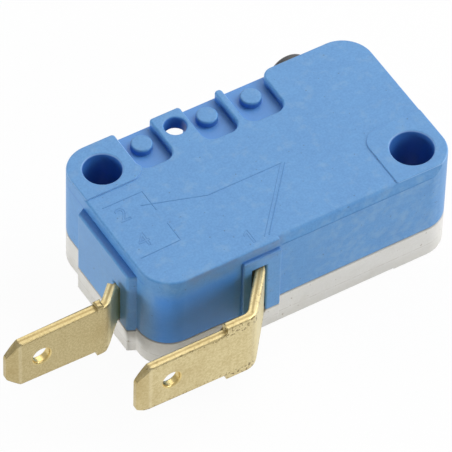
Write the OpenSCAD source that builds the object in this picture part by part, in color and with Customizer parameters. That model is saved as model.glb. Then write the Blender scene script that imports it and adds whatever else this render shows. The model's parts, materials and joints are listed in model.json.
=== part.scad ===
// Snap-action micro switch, single pole, normally open, with two flat tab terminals.
// It lies on the cover's two raised pads. The origin is on the axis of mounting hole A,
// in the plane of those pads. +X runs along the body away from the tabs, +Y to the plunger, +Z up.

/* [Housing] */
// Length of the moulded body along X, without the terminals
body_l = 27.8; // [25:0.1:31]
// Width of the moulded body along Y, without the plunger
body_w = 15.9; // [15.7:0.1:17]
// Thickness of the body between its two flat faces
body_t = 9.9; // [9.7:0.1:11]
// Radius of the four upright corners
corner_r = 2.65; // [2:0.05:3]
// Thickness of the side walls
wall_t = 1.3; // [1.1:0.05:1.45]
// Thickness of the case's closed face
roof_t = 2.0; // [1.6:0.05:2.15]
// Thickness of the cover's floor
floor_t = 1.4; // [1.1:0.05:1.6]
// Height of the cover, from its flat face to the seam
cover_h = 3.0; // [2.8:0.05:3.2]
// Height of the raised pads round the mounting holes, on both faces
pad_h = 0.12; // [0.08:0.02:0.3]

/* [Mounting holes] */
// Distance of the mounting holes from the body's sides, for a pitch of 22.2 by 10.3
hole_inset = 2.8; // [2.7:0.05:2.9]
// Diameter of mounting hole A, the closer fit
hole_a_d = 3.15; // [2.9:0.05:3.3]
// Diameter of mounting hole B, the looser fit
hole_b_d = 3.55; // [3.2:0.05:3.7]
// Wall left round each mounting hole inside the body
boss_wall = 1.25; // [1:0.05:1.4]
// Reach of a raised pad from its hole's axis towards the middle, along X
pad_reach_x = 2.95; // [2.6:0.05:3.2]
// Reach of pad A from its hole's axis towards the middle, along Y
pad_a_reach_y = 2.2; // [2:0.05:2.6]
// Reach of pad B from its hole's axis towards the middle, along Y
pad_b_reach_y = 3.2; // [2.9:0.05:3.4]
// Radius of a raised pad's inner corner
pad_corner_r = 1.6; // [1:0.1:2]

/* [Lever seats on the plunger edge] */
// Distance of the first pocket's middle from mounting hole A, along X
pocket_a_at = 4.25; // [4.1:0.05:4.35]
// Distance of the second pocket's middle from mounting hole A, along X
pocket_b_at = 10.25; // [10.15:0.05:10.35]
// Distance of the third pocket's middle from mounting hole A, along X
pocket_c_at = 14.3; // [14.2:0.05:14.4]
// Width of the first and second pockets
pocket_w = 3.2; // [3:0.05:3.3]
// Width of the third pocket
pocket_c_w = 3.6; // [3.4:0.05:3.7]
// Depth of the open pockets below both flat faces
pocket_depth = 0.9; // [0.7:0.05:1]
// Length of the pockets, from the plunger edge inwards
pocket_len = 4.4; // [4:0.1:4.6]
// Radius of the pockets' inner corners
pocket_r = 1.0; // [0.5:0.05:1.2]
// Rounding of the ribs between the pockets, at the plunger edge
pocket_flare = 0.28; // [0.15:0.01:0.29]
// Rounding of the block beside the third pocket, at the plunger edge
block_r = 1.0; // [0.6:0.1:2.4]
// Distance of the row of lever pivots from the plunger edge
pivot_inset = 1.65; // [1.6:0.05:1.75]
// Diameter of the through hole for an outer lever's pin
lever_hole_d = 1.8; // [1.6:0.05:2]
// Distance of that through hole from mounting hole A, along X
lever_hole_at = 7.34; // [7.2:0.02:7.5]
// Thickness of the lugs round that through hole, on both faces
lug_t = 1.4; // [1.2:0.05:1.6]
// Width of the slot between the lugs, for an outer lever's eye
lug_slot_w = 2.4; // [2.2:0.05:2.5]
// Distance of that slot's inner end from the through hole
lug_slot_gap = 0.1; // [0.05:0.05:0.15]
// Wall round that slot inside the body
lug_wall = 0.6; // [0.5:0.05:0.65]
// Diameter of the closed pivot seats
seat_d = 1.8; // [1.5:0.05:2]
// Height of the closed pivot seats above the pocket floors
seat_h = 0.6; // [0.3:0.05:0.7]

/* [Terminal faces of the housing] */
// How far the raised face at the open terminal stands out of the end wall
end_face_out = 0.68; // [0.4:0.02:0.8]
// Place of that face's end nearer the plunger, along Y from the body's middle
end_face_back = 3.35; // [3:0.05:3.5]
// Length of that face along Y, measured on the wall
end_face_len = 8.35; // [7.8:0.05:8.6]
// Slant of that face's two ends, along Y
end_face_slant = 0.35; // [0.1:0.05:0.7]
// Depth of its upper edge below the case's flat face
end_face_top = 1.1; // [0.9:0.05:1.3]
// How far the raised face at the common terminal stands out of the front wall
front_face_out = 0.3; // [0.2:0.05:0.5]
// Distance of that face's left edge from the middle of its slot
front_face_lead = 1.67; // [1.5:0.01:1.9]
// Width of that face along X
front_face_w = 3.5; // [3.3:0.05:4]
// Depth of its upper edge below the case's flat face
front_face_top = 0.95; // [0.8:0.05:1.2]
// How far both raised faces reach down over the seam
face_drop = 0.6; // [0.4:0.05:0.7]
// How far the case's wall behind and between them reaches down over the seam
corner_drop = 0.3; // [0.15:0.05:0.4]
// Width of the sloping band on the front upper edge, at its wide end
band_wide = 0.66; // [0.4:0.02:0.8]
// Width of that band at its narrow end
band_narrow = 0.22; // [0.1:0.02:0.4]
// Height of that band on the front wall
band_h = 0.85; // [0.6:0.05:1]

/* [Terminals] */
// Thickness of the brass strip
strip_t = 0.8; // [0.7:0.05:0.85]
// Inner radius of the strip's bends at the end wall and inside the body
bend_r = 0.5; // [0.3:0.05:0.7]
// Inner radius of its bends nearer the tabs
tab_bend_r = 0.9; // [0.6:0.05:1]
// Width of the tabs
tab_w = 4.8; // [4.4:0.1:5]
// Length of the tabs, from shoulder to tip
tab_len = 8.05; // [7.6:0.05:8.6]
// Chamfer of the tabs' upper tip corner
tab_chamfer = 1.2; // [0.8:0.05:1.5]
// Height of the common tab's lower tip corner
tab_low_rise = 0.43; // [0.2:0.01:0.8]
// Length of that corner along the tab
tab_low_run = 0.9; // [0.4:0.05:1.2]
// Length of the lead-in at the tabs' tips, where the strip is pressed thinner from both faces
tip_lead = 1.1; // [0.8:0.05:1.4]
// Thickness of the strip at the tabs' tips
tip_t = 0.4; // [0.3:0.02:0.6]
// Diameter of the hole in each tab
tab_hole_d = 1.5; // [1.2:0.05:1.7]
// Distance of that hole from the tip
tab_hole_at = 3.1; // [2.8:0.05:4]
// How far the shoulders stand out past the tabs' edges
shoulder_out = 0.65; // [0.4:0.05:0.7]
// How far the strip stands out past a tab's width in the common terminal's slot
throat_out = 0.4; // [0.2:0.05:0.42]
// Place of the common terminal's slot along X, from the body's middle
common_x = -4.55; // [-4.8:0.05:-4.3]
// Distance of the common tab from the front wall
common_tab_out = 4.1; // [3.8:0.05:4.4]
// Slant of the common terminal outside the body, from the Y axis
common_slant = 39; // [35:1:43]
// Distance of the common terminal's bend from the front wall
common_bend_out = 0.1; // [0.05:0.05:0.3]
// Length of the common terminal's shoulder before its slanted part
common_shoulder = 2.4; // [2.2:0.05:2.6]
// Reach of that shoulder along the slanted part
common_wide = 1.4; // [1.2:0.05:1.6]
// Extra width of the common terminal's slot on the side that the strip bends to
slot_mouth = 0.36; // [0.32:0.01:0.5]
// Distance of the common strip's inner run from the front wall's outer face
common_run_in = 2.75; // [2.6:0.05:3]
// Place of the open terminal inside the body along Y, from the body's middle
open_y = -3.0; // [-3.2:0.05:-2.9]
// Sideways step of the open terminal outside the body
open_step = 1.95; // [1.7:0.05:2.2]
// Distance of the open terminal's tab shoulder from the end wall
open_tab_out = 3.75; // [3.5:0.05:4.1]
// Height of the open terminal's upper nib at the end of its tab
nib_h = 0.38; // [0.2:0.02:0.5]
// Length of that nib
nib_len = 0.6; // [0.4:0.05:0.8]
// Length of the open terminal's lower foot
foot_len = 1.55; // [1.2:0.05:1.8]
// Length of the open terminal's lower neck outside its slot, along the slanted part
neck_len = 0.6; // [0.46:0.02:0.74]
// Height of the open terminal's upper edge in its slot, above the strip's middle
neck_up = 1.3; // [1:0.05:1.6]
// Clear space round the strip in the housing's slots
slot_gap = 0.06; // [0.04:0.01:0.12]

/* [Plunger] */
// Diameter of the plunger
plunger_d = 3.6; // [3.2:0.05:3.8]
// Distance of the plunger's axis from the end of the body
plunger_inset = 4.4; // [4.2:0.05:4.7]
// How far the plunger stands out of the body when released
plunger_out = 3.1; // [2.8:0.05:3.3]
// Full travel of the plunger, up to its stop rib
plunger_travel = 2.2; // [1.8:0.05:2.3]
// Radius of the plunger's end edge
plunger_edge = 0.6; // [0.4:0.05:1]
// Length of the guide inside the wall
guide_len = 0.9; // [0.7:0.05:1.1]
// Wall of the guide on both sides of the plunger
guide_wall = 1.0; // [0.8:0.05:1.1]
// Thickness of the plunger's retaining flange
flange_t = 1.0; // [0.8:0.05:1.1]
// Width of the retaining flange along X
flange_w = 4.6; // [4.2:0.1:5]
// Running clearance of the plunger in its guide
plunger_gap = 0.05; // [0.03:0.01:0.1]

/* [Snap mechanism] */
// Place of the operating lever's pivot along X, from the body's middle
pivot_x = -1.2; // [-1.4:0.05:-1]
// Place of the operating lever's pivot along Y, from the body's middle
pivot_y = 3.2; // [3.1:0.05:3.3]
// Diameter of the pivot post in the case
pivot_d = 1.6; // [1.4:0.05:1.7]
// Running clearance of the lever on its post
pivot_gap = 0.05; // [0.03:0.01:0.08]
// Wall of the lever's eye round the post
eye_wall = 0.6; // [0.5:0.05:0.65]
// Thickness of the lever's beam
beam_t = 1.1; // [0.9:0.05:1.2]
// Width of the lever's beam along Z
beam_w = 4.4; // [4:0.1:4.6]
// Distance of the beam's lower face below the lever's pivot
beam_drop = 0.65; // [0.5:0.05:0.7]
// Radius of the lever's bump under the plunger
bump_r = 0.75; // [0.6:0.05:0.8]
// Distance of the bump's axis below the lever's pivot
bump_drop = 0.1; // [0:0.05:0.15]
// Free height at both ends of the lever's eye
eye_play = 0.3; // [0.2:0.05:0.4]
// Distance of the spring hook from the lever's pivot along X
hook_dx = 6.6; // [6.4:0.05:6.8]
// Distance of the spring hook below the lever's pivot along Y
hook_dy = 2.45; // [2.35:0.05:2.55]
// Diameter of the lever's spring bar
hook_d = 0.7; // [0.6:0.05:0.8]
// Wall of the lever's prongs round the spring bar
prong_wall = 0.25; // [0.2:0.05:0.3]
// Thickness of the lever's prongs along Z
prong_t = 0.75; // [0.6:0.05:0.85]
// Free space between a prong and the spring's eye
prong_gap = 0.6; // [0.4:0.05:0.7]
// Place of the arm's knife edge along X, from the body's middle
knife_x = 2.75; // [2.6:0.05:2.9]
// Place of the arm's knife edge along Y, from the body's middle
knife_y = 0; // [-0.1:0.02:0.1]
// Distance of the contacts' axis from the end of the body
contact_inset = 3.6; // [3.35:0.05:3.95]
// Thickness of the contact arm
arm_t = 0.35; // [0.25:0.05:0.4]
// Width of the contact arm along Z
arm_w = 4.6; // [4.4:0.05:4.7]
// Rim of the contact arm round its contact
arm_rim = 0.2; // [0.1:0.05:0.3]
// Chamfer of the contact arm's end corners
arm_chamfer = 0.6; // [0.4:0.05:0.8]
// Running clearance of the knife edge in its groove
knife_gap = 0.05; // [0.03:0.01:0.08]
// Open distance between the contacts
contact_gap = 1.0; // [0.8:0.05:1.1]
// Diameter of the contact heads
contact_d = 2.3; // [2:0.1:2.6]
// Height of the moving contact's head
contact_h = 0.55; // [0.4:0.05:0.65]
// Diameter of the contacts' rivet shanks
shank_d = 1.0; // [0.8:0.05:1.2]
// Radial clearance of the shanks in their holes
shank_gap = 0.01; // [0.01:0.01:0.03]
// Height of the shanks' upset ends
upset_h = 0.25; // [0.15:0.05:0.3]
// Width of the upset ends' rims
upset_rim = 0.3; // [0.2:0.05:0.4]
// Clearance where the parts rest against one another
rest_gap = 0.04; // [0.03:0.01:0.08]
// Diameter of the spring wire
wire_d = 0.24; // [0.2:0.01:0.28]
// Outer diameter of the spring's coils
coil_d = 1.75; // [1.5:0.05:1.9]
// Number of coils in the spring
coil_turns = 18; // [14:1:20]
// Clear space round the coils in the arm's fork and the terminal's slot
coil_room = 0.55; // [0.4:0.05:0.6]
// Length of the straight wire between a coil end and the middle of its eye's rim
lead_len = 0.7; // [0.5:0.05:0.9]
// Radius of the spring's eye at the arm, to the middle of the wire
loop_r = 0.45; // [0.42:0.01:0.5]
// Distance of the arm's eyelet for the spring from the contact
eyelet_at = 3.35; // [3:0.05:3.6]
// Clearance of the spring's wire in the eyelet
eyelet_gap = 0.18; // [0.12:0.01:0.2]
// Clearance of the spring's eyes on the arm's land and on the lever's bar
loop_gap = 0.06; // [0.05:0.01:0.08]

/* [Ribs and tongues inside] */
// Thickness of the ribs
rib_t = 1.1; // [0.9:0.05:1.2]
// Thickness of the cover's tongues
tongue_t = 0.8; // [0.6:0.05:0.9]
// Length of the cover's tongues
tongue_len = 3.0; // [2.5:0.1:3.2]
// Height of the cover's tongues above the seam
tongue_h = 1.2; // [0.8:0.1:1.5]
// Clearance of the tongues to the case's walls
tongue_gap = 0.04; // [0.03:0.01:0.08]

/* [Hidden] */
$fn = 48;

// Levels above the resting plane
z_face = pad_h;
z_floor = z_face + floor_t;
z_seam = z_face + cover_h;
z_mid = z_face + body_t / 2;
z_top = z_face + body_t;
z_roof = z_top - roof_t;
z_pad = z_top + pad_h;

// Outer and inner faces of the walls, from the body's middle
left = -body_l / 2;
right = body_l / 2;
front = -body_w / 2;
back = body_w / 2;
left_in = left + wall_t;
right_in = right - wall_t;
front_in = front + wall_t;
back_in = back - wall_t;
inner_r = corner_r - wall_t;

// Mounting holes, as centre, diameter, the side of the middle that they are on and the pad's reach
hole_a = [left + hole_inset, back - hole_inset];
hole_b = [right - hole_inset, front + hole_inset];
holes = [[hole_a, hole_a_d, -1, pad_a_reach_y], [hole_b, hole_b_d, 1, pad_b_reach_y]];
lever_hole_x = hole_a[0] + lever_hole_at;
lever_hole = [lever_hole_x, back - pivot_inset];
lug_slot_y = lever_hole[1] - lever_hole_d / 2 - lug_slot_gap;
lug_half = lug_slot_w / 2 + lug_wall;

// Pockets along the plunger edge, as place, width along X and mouth roundings on both sides
pockets = [
    [hole_a[0] + pocket_a_at, pocket_w, pocket_flare, pocket_flare],
    [hole_a[0] + pocket_b_at, pocket_w, pocket_flare, pocket_flare],
    [hole_a[0] + pocket_c_at, pocket_c_w, pocket_flare, block_r]
];

// The raised faces at the terminals
end_face_front = end_face_back - end_face_len;
end_face_x = left - end_face_out;
end_face_z = z_top - end_face_top;
face_low = z_seam - face_drop;
corner_low = z_seam - corner_drop;
front_face_y = front - front_face_out;
front_face_z = z_top - front_face_top;
front_face_left = common_x - front_face_lead;
front_face_right = front_face_left + front_face_w;

// Common terminal: the corners of its strip in plan, from tab tip to upright
common_tab_y = front - common_tab_out;
common_bend_y = front - common_bend_out;
common_bend_x = common_x - (common_bend_y - common_tab_y) * tan(common_slant);
common_root_x = common_bend_x - common_shoulder;
common_wide_x = common_bend_x + common_wide;
common_tip_x = common_root_x - tab_len;
common_run_y = front + common_run_in;
upright_x = knife_x + strip_t / 2;
upright_top = knife_y + 1.25 * strip_t;
common_path = [
    [common_tip_x, common_tab_y],
    [common_bend_x, common_tab_y],
    [common_x, common_bend_y],
    [common_x, common_run_y],
    [upright_x, common_run_y],
    [upright_x, upright_top]
];

// Open terminal: the corners of its strip in plan, from tab tip to inner end
open_root_x = left - open_tab_out;
open_tip_x = open_root_x - tab_len;
open_tab_y = open_y - open_step;
open_bend_x = end_face_x - strip_t / 4;
contact_x = left + contact_inset;
open_end_x = contact_x + contact_d / 2 + 1.5 * rest_gap + strip_t;
open_path = [
    [open_tip_x, open_tab_y],
    [open_bend_x - open_step, open_tab_y],
    [open_bend_x, open_y],
    [open_end_x, open_y]
];

// Places of the ribs that hold the common strip's inner run, along X
run_ribs = [common_x + 3 * rib_t, knife_x - rib_t];
run_mid = (run_ribs[0] + run_ribs[1]) / 2;

// The strip's half widths along Z
tab_half = tab_w / 2;
shoulder_half = tab_half + shoulder_out;
throat_half = tab_half + throat_out;

// Plunger and operating lever
plunger_x = right - plunger_inset;
guide_y = back_in - guide_len;
flange_y = guide_y - rest_gap - flange_t;
stop_y = flange_y - plunger_travel - rest_gap;
bump_y = pivot_y - bump_drop;
foot_y = bump_y + bump_r + rest_gap;
pivot_r = pivot_d / 2;
eye_r = pivot_r + pivot_gap + eye_wall;
hook = [pivot_x + hook_dx, pivot_y - hook_dy];
hook_r = hook_d / 2;
beam_low = pivot_y - beam_drop;
prong_in = wire_d / 2 + prong_gap;

// Contact arm and spring
arm_half = arm_w / 2;
slot_half = coil_d / 2 + coil_room;
nose_half = contact_d / 2 + arm_rim;
arm_end_x = contact_x - nose_half;
eyelet_x = contact_x + eyelet_at;
eyelet_r = wire_d / 2 + eyelet_gap;
loop_a = [eyelet_x + loop_r, knife_y];
fork_x = eyelet_x + 2 * loop_r - wire_d / 2 - loop_gap;
fixed_top = knife_y - arm_t / 2 - contact_h - contact_gap;
strip_face = open_y + strip_t / 2;
spring_len = norm(hook - loop_a);
spring_tilt = atan2(hook[1] - loop_a[1], hook[0] - loop_a[0]);
hook_loop_r = hook_r + wire_d / 2 + loop_gap;

// Colours
case_blue = "#6FA3D8";
cover_grey = "#CFCFCA";
plunger_grey = "#3A3B3D";
nylon = "#E9E6DA";
brass = "#C9B878";
bronze = "#B98A54";
silver = "#D6D6D2";
steel = "#A9ABAD";

// Moves a shape from the body's middle to the origin on mounting hole A
module placed() {
    translate([-hole_a[0], -hole_a[1], 0]) children();
}

// A block from one corner to the opposite one
module block(low, high) {
    translate(low) cube(high - low);
}

// An upright prism of a flat shape between two levels
module prism(low, high) {
    translate([0, 0, low]) linear_extrude(high - low) children();
}

module rounded_rect(l, w, r) {
    square([l - 2 * r, w], center = true);
    square([l, w - 2 * r], center = true);
    for (sx = [-1, 1], sy = [-1, 1])
        translate([sx * (l / 2 - r), sy * (w / 2 - r)]) circle(r);
}

module body_outline() {
    rounded_rect(body_l, body_w, corner_r);
}

module inner_outline() {
    rounded_rect(body_l - 2 * wall_t, body_w - 2 * wall_t, inner_r);
}

// The corner of the body that is raised round one mounting hole
module pad_outline(hole) {
    centre = hole[0];
    side = hole[2];
    l = 2 * (pad_reach_x + body_l);
    w = 2 * (hole[3] + body_w);
    intersection() {
        body_outline();
        translate([centre[0] + side * body_l, centre[1] - side * body_w])
            rounded_rect(l, w, pad_corner_r);
    }
}

module hole_bores(low, high) {
    for (hole = holes)
        translate(hole[0]) prism(low, high) circle(d = hole[1]);
    translate(lever_hole) prism(low, high) circle(d = lever_hole_d);
}

// The walls left round the mounting holes and the lever's slot inside the body
module hole_bosses(low, high) {
    prism(low, high) intersection() {
        body_outline();
        union() {
            for (hole = holes)
                translate(hole[0]) circle(d = hole[1] + 2 * boss_wall);
            translate([lever_hole_x - lug_half, lug_slot_y - lug_wall]) square([2 * lug_half, body_w]);
        }
    }
}

// One open pocket in the plunger edge, with its mouth rounded
module pocket_outline(pocket) {
    x = pocket[0];
    w = pocket[1];
    translate([x, back]) rounded_rect(w, 2 * pocket_len, pocket_r);
    translate([x - w / 2, back]) mirror([1, 0]) mouth_rounding(pocket[2]);
    translate([x + w / 2, back]) mouth_rounding(pocket[3]);
}

module mouth_rounding(r) {
    difference() {
        translate([-pocket_r, -r]) square([r + pocket_r, 2 * r]);
        translate([r, -r]) circle(r);
    }
}

// All pockets, cut between two levels
module lever_pockets(low, high) {
    for (pocket = pockets)
        prism(low, high) pocket_outline(pocket);
}

// The pivot seats that stand on the pockets' floors
module lever_seats(low, high) {
    for (pocket = pockets)
        translate([pocket[0], back - pivot_inset]) prism(low, high) circle(d = seat_d);
}

// The slot in the plunger edge between the two lugs
module lug_slot() {
    block([lever_hole_x - lug_slot_w / 2, lug_slot_y, z_face + lug_t],
        [lever_hole_x + lug_slot_w / 2, back + 1, z_top - lug_t]);
}

// The raised face at the open terminal, in plan
module end_face_outline() {
    polygon([
        [left, end_face_back],
        [end_face_x, end_face_back - end_face_slant],
        [end_face_x, end_face_front + end_face_slant],
        [left, end_face_front]
    ]);
}

// A strip of sheet in plan along a line of corners, with a thinner tip and rounded bends
bend_steps = 10;
function unit(v) = v / norm(v);
function left_of(v) = [-v[1], v[0]];
function swing(a, b) = atan2(a[0] * b[1] - a[1] * b[0], a * b);
function turned(v, angle) = v * cos(angle) + left_of(v) * sin(angle);
function bend_side(corner, r, a, b, shift) = let (
    angle = swing(a, b),
    side = sign(angle),
    mid_r = r + strip_t / 2,
    centre = corner - a * mid_r * tan(abs(angle) / 2) + side * left_of(a) * mid_r
) [for (k = [0 : bend_steps])
    centre - side * turned(left_of(a), angle * k / bend_steps) * (mid_r - side * shift)];
function strip_side(path, radii, shift) = let (
    last = len(path) - 1,
    ways = [for (i = [0 : last - 1]) unit(path[i + 1] - path[i])]
) concat(
    [path[0] + left_of(ways[0]) * shift * tip_t / strip_t],
    [path[0] + ways[0] * tip_lead + left_of(ways[0]) * shift],
    [for (i = [1 : last - 1]) each bend_side(path[i], radii[i - 1], ways[i - 1], ways[i], shift)],
    [path[last] + left_of(ways[last - 1]) * shift]
);
function reversed(list) = [for (i = [len(list) - 1 : -1 : 0]) list[i]];
module strip_outline(path, radii) {
    polygon(concat(strip_side(path, radii, strip_t / 2), reversed(strip_side(path, radii, -strip_t / 2))));
}

// What the strips leave free in the housing: their slots in the front and end walls. They stay open
// upwards in the cover and downwards in the case, so that the terminals can be laid in.
module terminal_slots(open_up) {
    half = strip_t / 2 + slot_gap;
    common_low = open_up ? z_mid - throat_half - slot_gap : 0;
    common_high = open_up ? z_pad : z_mid + throat_half + slot_gap;
    open_low = open_up ? z_mid - tab_half - slot_gap : 0;
    open_high = open_up ? z_pad : z_mid + neck_up + slot_gap;
    block([common_x - half, front_face_y - 1, common_low], [common_x + half, common_run_y, common_high]);
    block([common_x - half - slot_mouth, front_face_y - 1, common_low],
        [common_x, common_bend_y + tab_bend_r, common_high]);
    block([end_face_x - 1, open_y - half, open_low], [left_in + 1, open_y + half, open_high]);
}

// The sloping band along the front upper edge, cut away from the case. It twists as it gets
// narrower, and it runs out on the corner. Its slope is carried on past the wall's face.
band_steps = 8;
band_past = 0.2;
function band_place(k) = k == band_steps ? right
    : front_face_right + (right - corner_r - front_face_right) * k / (band_steps - 1);
function band_width(k) = band_wide + (band_narrow - band_wide) * min(1, k / (band_steps - 1));
function band_ring(x, w) = [
    [x, front - w * band_past, z_top - band_h * (1 + band_past)],
    [x, front + w, z_top],
    [x, front + w, z_pad + 1],
    [x, front - 1, z_pad + 1],
    [x, front - 1, z_top - band_h * (1 + band_past)]
];
module front_band() {
    points = [for (k = [0 : band_steps]) each band_ring(band_place(k), band_width(k))];
    sides = 5;
    walls = [for (k = [0 : band_steps - 1]) for (i = [0 : sides - 1]) let (
        a = k * sides + i,
        b = k * sides + (i + 1) % sides
    ) each [[a, a + sides, b], [b, a + sides, b + sides]]];
    start = [for (i = [0 : sides - 1]) i];
    end = [for (i = [sides - 1 : -1 : 0]) band_steps * sides + i];
    polyhedron(points, concat(walls, [start, end]));
}

module case_shell() {
    difference() {
        union() {
            prism(z_seam, z_top) body_outline();
            for (hole = holes)
                prism(z_top, z_pad) pad_outline(hole);
            prism(face_low, end_face_z) end_face_outline();
            block([front_face_left, front_face_y, face_low], [front_face_right, front, front_face_z]);
            front_corner_skirt(corner_low, z_seam);
        }
        prism(corner_low - 1, z_roof) inner_outline();
        lever_pockets(z_top - pocket_depth, z_pad + 1);
        front_band();
    }
    lever_seats(z_top - pocket_depth, z_top - pocket_depth + seat_h);
}

// The wall behind and between the two raised faces, which laps down over the cover
module front_corner_skirt(low, high) {
    prism(low, high) intersection() {
        difference() {
            body_outline();
            inner_outline();
        }
        translate([left, front]) square([front_face_right - left, end_face_back - front]);
    }
}

module case() {
    placed() color(case_blue) difference() {
        union() {
            case_shell();
            hole_bosses(z_seam, z_roof);
            plunger_guide();
            case_ribs();
        }
        hole_bores(-1, z_pad + 1);
        lug_slot();
        terminal_slots(false);
        translate([plunger_x, guide_y - 1, z_mid]) rotate([-90, 0, 0])
            cylinder(d = plunger_d + 2 * plunger_gap, h = guide_len + wall_t + 2);
    }
}

// Inside the case: the plunger's guide and the rib that stops its flange at full travel
module plunger_guide() {
    half = plunger_d / 2 + guide_wall;
    block([plunger_x - half, guide_y, z_seam], [plunger_x + half, back_in, z_roof]);
    block([plunger_x + flange_w / 4, stop_y - rib_t, z_seam], [right_in, stop_y, z_roof]);
}

// Inside the case: the lever's pivot post, the arm's rest stop and the terminals' seats
module case_ribs() {
    run_low = common_run_y - strip_t / 2 - slot_gap;
    run_high = common_run_y + strip_t / 2 + slot_gap;
    strip_high = z_mid + tab_half + slot_gap;
    block([open_end_x, knife_y + arm_t / 2 + rest_gap, z_mid - tab_half],
        [open_end_x + rib_t, hole_a[1], z_roof]);
    translate([pivot_x, pivot_y]) prism(z_floor + rest_gap, z_roof) circle(pivot_r);
    for (x = run_ribs)
        block([x, front_in, z_seam], [x + rib_t, run_low, z_roof]);
    block([run_mid, run_high, z_seam], [run_mid + rib_t, run_high + rib_t, z_roof]);
    block([run_ribs[0], front_in, strip_high], [knife_x, run_high, z_roof]);
    block([contact_x - rib_t / 2, front_in, z_seam],
        [contact_x + rib_t / 2, open_y - strip_t / 2 - slot_gap - shank_d / 2, z_roof]);
    block([left_in, open_y - strip_t, strip_high],
        [contact_x - contact_d / 2, open_y + strip_t, z_roof]);
}

module cover() {
    placed() color(cover_grey) {
        cover_shell();
        lever_seats(z_face + pocket_depth - seat_h, z_face + pocket_depth);
    }
}

module cover_shell() {
    difference() {
        union() {
            prism(z_face, z_floor) body_outline();
            prism(z_floor, z_seam) difference() {
                body_outline();
                inner_outline();
            }
            for (hole = holes)
                prism(0, z_face) pad_outline(hole);
            hole_bosses(z_floor, z_seam);
            prism(z_face, face_low) end_face_outline();
            front_face_foot();
            cover_ribs();
            cover_tongues();
        }
        front_corner_skirt(corner_low, z_seam + 1);
        lever_pockets(-1, z_face + pocket_depth);
        hole_bores(-1, z_pad + 1);
        lug_slot();
        terminal_slots(true);
    }
}

// The cover's part of the raised face at the common terminal, flush at its lower edge
module front_face_foot() {
    translate([front_face_left, 0, 0]) rotate([90, 0, 90]) linear_extrude(front_face_w)
        polygon([[front, z_face], [front, face_low], [front_face_y, face_low]]);
}

// Ribs on the cover's floor that hold the terminals up against the case
module cover_ribs() {
    strip_low = z_mid - tab_half - slot_gap;
    for (x = run_ribs)
        block([x, front_in, z_floor], [x + rib_t, common_run_y + strip_t / 2, strip_low]);
    block([left_in, open_y - strip_t / 2, z_floor],
        [contact_x - contact_d / 2, open_y + strip_t / 2, strip_low]);
}

// Tongues that locate the cover inside the case's walls
module cover_tongues() {
    high = z_seam + tongue_h;
    side_y = stop_y - rib_t - tongue_gap;
    front_x = knife_x + rib_t + tongue_t;
    back_x = lever_hole_x + lug_half + tongue_t;
    block([right_in - tongue_gap - tongue_t, side_y - tongue_len, z_floor],
        [right_in - tongue_gap, side_y, high]);
    block([front_x, front_in + tongue_gap, z_floor],
        [front_x + tongue_len, front_in + tongue_gap + tongue_t, high]);
    block([back_x, back_in - tongue_gap - tongue_t, z_floor],
        [back_x + tongue_len, back_in - tongue_gap, high]);
}

module plunger() {
    placed() color(plunger_grey) translate([plunger_x, 0, z_mid]) {
        rotate([-90, 0, 0]) translate([0, 0, flange_y]) rotate_extrude() {
            long = back + plunger_out - flange_y;
            r = plunger_d / 2;
            square([r, long - plunger_edge]);
            square([r - plunger_edge, long]);
            translate([r - plunger_edge, long - plunger_edge]) circle(plunger_edge);
        }
        block([-flange_w / 2, flange_y, -beam_w / 2], [flange_w / 2, flange_y + flange_t, beam_w / 2]);
        block([-bump_r, foot_y, -beam_w / 2], [bump_r, flange_y, beam_w / 2]);
    }
}

module operating_lever() {
    placed() color(nylon) difference() {
        union() {
            translate([pivot_x, pivot_y]) prism(z_floor + eye_play, z_roof - eye_play) circle(eye_r);
            block([pivot_x, beam_low, z_mid - beam_w / 2],
                [plunger_x, beam_low + beam_t, z_mid + beam_w / 2]);
            translate([plunger_x, bump_y]) prism(z_mid - beam_w / 2, z_mid + beam_w / 2) circle(bump_r);
            for (side = [-1, 1])
                hook_prong(side);
            translate(hook) prism(z_mid - prong_in, z_mid + prong_in) circle(hook_r);
        }
        translate([pivot_x, pivot_y]) prism(z_floor, z_roof) circle(pivot_r + pivot_gap);
    }
}

// One of the two prongs that carry the lever's spring bar
module hook_prong(side) {
    reach = hook_r + prong_wall;
    low = z_mid + (side < 0 ? -prong_in - prong_t : prong_in);
    prism(low, low + prong_t) {
        translate(hook) circle(reach);
        translate([hook[0] - reach, hook[1]]) square([2 * reach, beam_low + beam_t / 2 - hook[1]]);
    }
}

module contact_arm() {
    placed() color(bronze) translate([0, knife_y, z_mid]) difference() {
        union() {
            rotate([90, 0, 0]) translate([0, 0, -arm_t / 2]) linear_extrude(arm_t) polygon([
                [knife_x, arm_half], [eyelet_x, arm_half], [arm_end_x + arm_chamfer, nose_half],
                [arm_end_x, nose_half - arm_chamfer], [arm_end_x, arm_chamfer - nose_half],
                [arm_end_x + arm_chamfer, -nose_half], [eyelet_x, -arm_half], [knife_x, -arm_half]
            ]);
            translate([knife_x, 0, -arm_half]) cylinder(d = arm_t, h = 2 * arm_half);
        }
        block([fork_x, -arm_t, -slot_half], [knife_x + arm_t, arm_t, slot_half]);
        for (spot = [[eyelet_x, eyelet_r], [contact_x, shank_d / 2]])
            translate([spot[0], 0, 0]) rotate([90, 0, 0])
                cylinder(r = spot[1], h = 2 * arm_t, center = true);
    }
}

// A contact rivet: a crowned head, its shank and the upset end
module rivet(head_h, grip) {
    crown = 4 * contact_d;
    intersection() {
        cylinder(d = contact_d, h = head_h);
        translate([0, 0, head_h - crown]) sphere(crown, $fn = 96);
    }
    translate([0, 0, -grip - upset_h]) {
        cylinder(d = shank_d - 2 * shank_gap, h = grip + upset_h);
        cylinder(d = shank_d + 2 * upset_rim, h = upset_h);
    }
}

module moving_contact() {
    placed() color(silver) translate([contact_x, knife_y - arm_t / 2, z_mid]) rotate([90, 0, 0])
        rivet(contact_h, arm_t);
}

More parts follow.
